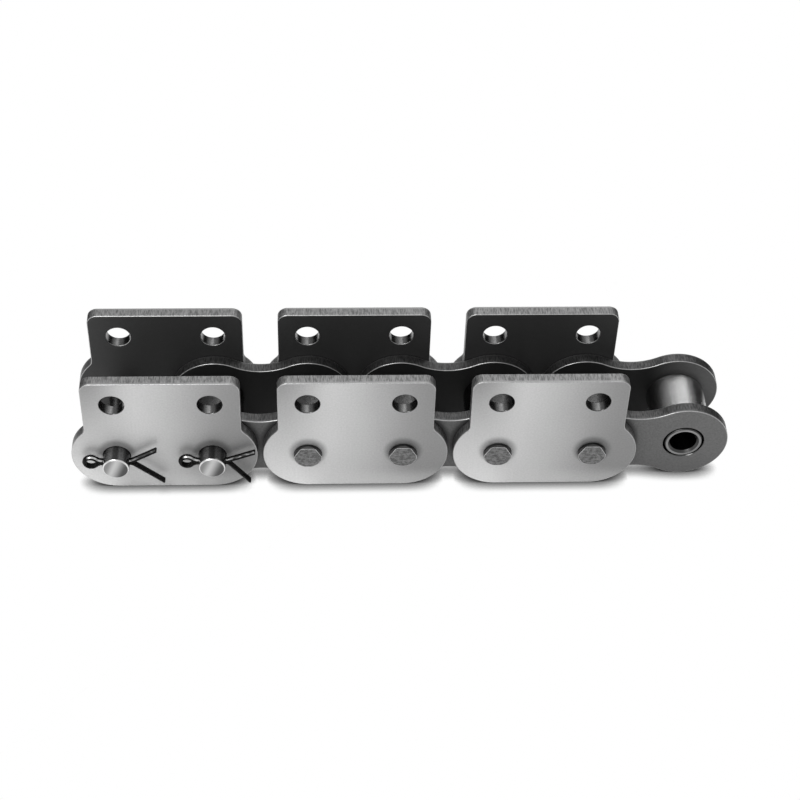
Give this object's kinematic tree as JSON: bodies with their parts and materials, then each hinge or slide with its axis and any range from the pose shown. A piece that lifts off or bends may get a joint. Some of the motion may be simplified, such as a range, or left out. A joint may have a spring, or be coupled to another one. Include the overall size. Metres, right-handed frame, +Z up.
{
  "type": "lugged roller chain",
  "caption": "Straight length of heavy roller chain with tall two-hole lug plates on both sides of every outer link, a cottered connecting link at one end and an open bush at the other.",
  "frame": {"origin": "axis of the open bush at the +X end of the chain, midway between the plates", "axes": "+X along the straight chain towards its open end, +Y towards the rear plates, +Z up the lugs"},
  "size_m": [0.3528, 0.0703, 0.0772],
  "materials": {
    "lug_steel": "satin light grey steel, faintly brushed, with burnished edges",
    "inner_steel": "mid-grey mill finish with mottled sheared edges",
    "pin_steel": "ground steel, matt where the ends were riveted",
    "bush_steel": "turned bright steel",
    "roller_steel": "smooth ground steel",
    "cotter_steel": "glossy black oxide"
  },
  "bodies": {
    "outer_link_1": {"lug_plate_front_1": "lug_steel", "lug_plate_rear_1": "lug_steel", "connecting_pin_1": "pin_steel", "connecting_pin_2": "pin_steel", "cotter_1": "cotter_steel", "cotter_2": "cotter_steel"},
    "outer_link_2": {"lug_plate_front_2": "lug_steel", "lug_plate_rear_2": "lug_steel", "riveted_pin_1": "pin_steel", "riveted_pin_2": "pin_steel"},
    "outer_link_3": {"lug_plate_front_3": "lug_steel", "lug_plate_rear_3": "lug_steel", "riveted_pin_3": "pin_steel", "riveted_pin_4": "pin_steel"},
    "inner_link_1": {"inner_plate_front_1": "inner_steel", "inner_plate_rear_1": "inner_steel", "bush_1": "bush_steel", "bush_2": "bush_steel"},
    "inner_link_2": {"inner_plate_front_2": "inner_steel", "inner_plate_rear_2": "inner_steel", "bush_3": "bush_steel", "bush_4": "bush_steel"},
    "inner_link_3": {"inner_plate_front_3": "inner_steel", "inner_plate_rear_3": "inner_steel", "bush_5": "bush_steel", "bush_6": "bush_steel"},
    "roller_1": {"roller_1": "roller_steel"},
    "roller_2": {"roller_2": "roller_steel"},
    "roller_3": {"roller_3": "roller_steel"},
    "roller_4": {"roller_4": "roller_steel"},
    "roller_5": {"roller_5": "roller_steel"},
    "roller_6": {"roller_6": "roller_steel"}
  },
  "joints": [
    {"name": "pivot_1", "type": "hinge", "parent": "inner_link_1", "child": "outer_link_1", "pos_m": [-0.254, 0, 0], "axis": [0, -1, 0], "range_deg": [-10, 45]},
    {"name": "pivot_2", "type": "hinge", "parent": "outer_link_2", "child": "inner_link_1", "pos_m": [-0.2032, 0, 0], "axis": [0, -1, 0], "range_deg": [-10, 45]},
    {"name": "pivot_3", "type": "hinge", "parent": "outer_link_2", "child": "inner_link_2", "pos_m": [-0.1524, 0, 0], "axis": [0, 1, 0], "range_deg": [-10, 45]},
    {"name": "pivot_4", "type": "hinge", "parent": "inner_link_2", "child": "outer_link_3", "pos_m": [-0.1016, 0, 0], "axis": [0, 1, 0], "range_deg": [-10, 45]},
    {"name": "pivot_5", "type": "hinge", "parent": "outer_link_3", "child": "inner_link_3", "pos_m": [-0.0508, 0, 0], "axis": [0, 1, 0], "range_deg": [-10, 45]},
    {"name": "roller_spin_1", "type": "hinge", "parent": "inner_link_1", "child": "roller_1", "pos_m": [-0.254, 0, 0], "axis": [0, 1, 0], "continuous": true},
    {"name": "roller_spin_2", "type": "hinge", "parent": "inner_link_1", "child": "roller_2", "pos_m": [-0.2032, 0, 0], "axis": [0, 1, 0], "continuous": true},
    {"name": "roller_spin_3", "type": "hinge", "parent": "inner_link_2", "child": "roller_3", "pos_m": [-0.1524, 0, 0], "axis": [0, 1, 0], "continuous": true},
    {"name": "roller_spin_4", "type": "hinge", "parent": "inner_link_2", "child": "roller_4", "pos_m": [-0.1016, 0, 0], "axis": [0, 1, 0], "continuous": true},
    {"name": "roller_spin_5", "type": "hinge", "parent": "inner_link_3", "child": "roller_5", "pos_m": [-0.0508, 0, 0], "axis": [0, 1, 0], "continuous": true},
    {"name": "roller_spin_6", "type": "hinge", "parent": "inner_link_3", "child": "roller_6", "pos_m": [0, 0, 0], "axis": [0, 1, 0], "continuous": true}
  ]
}
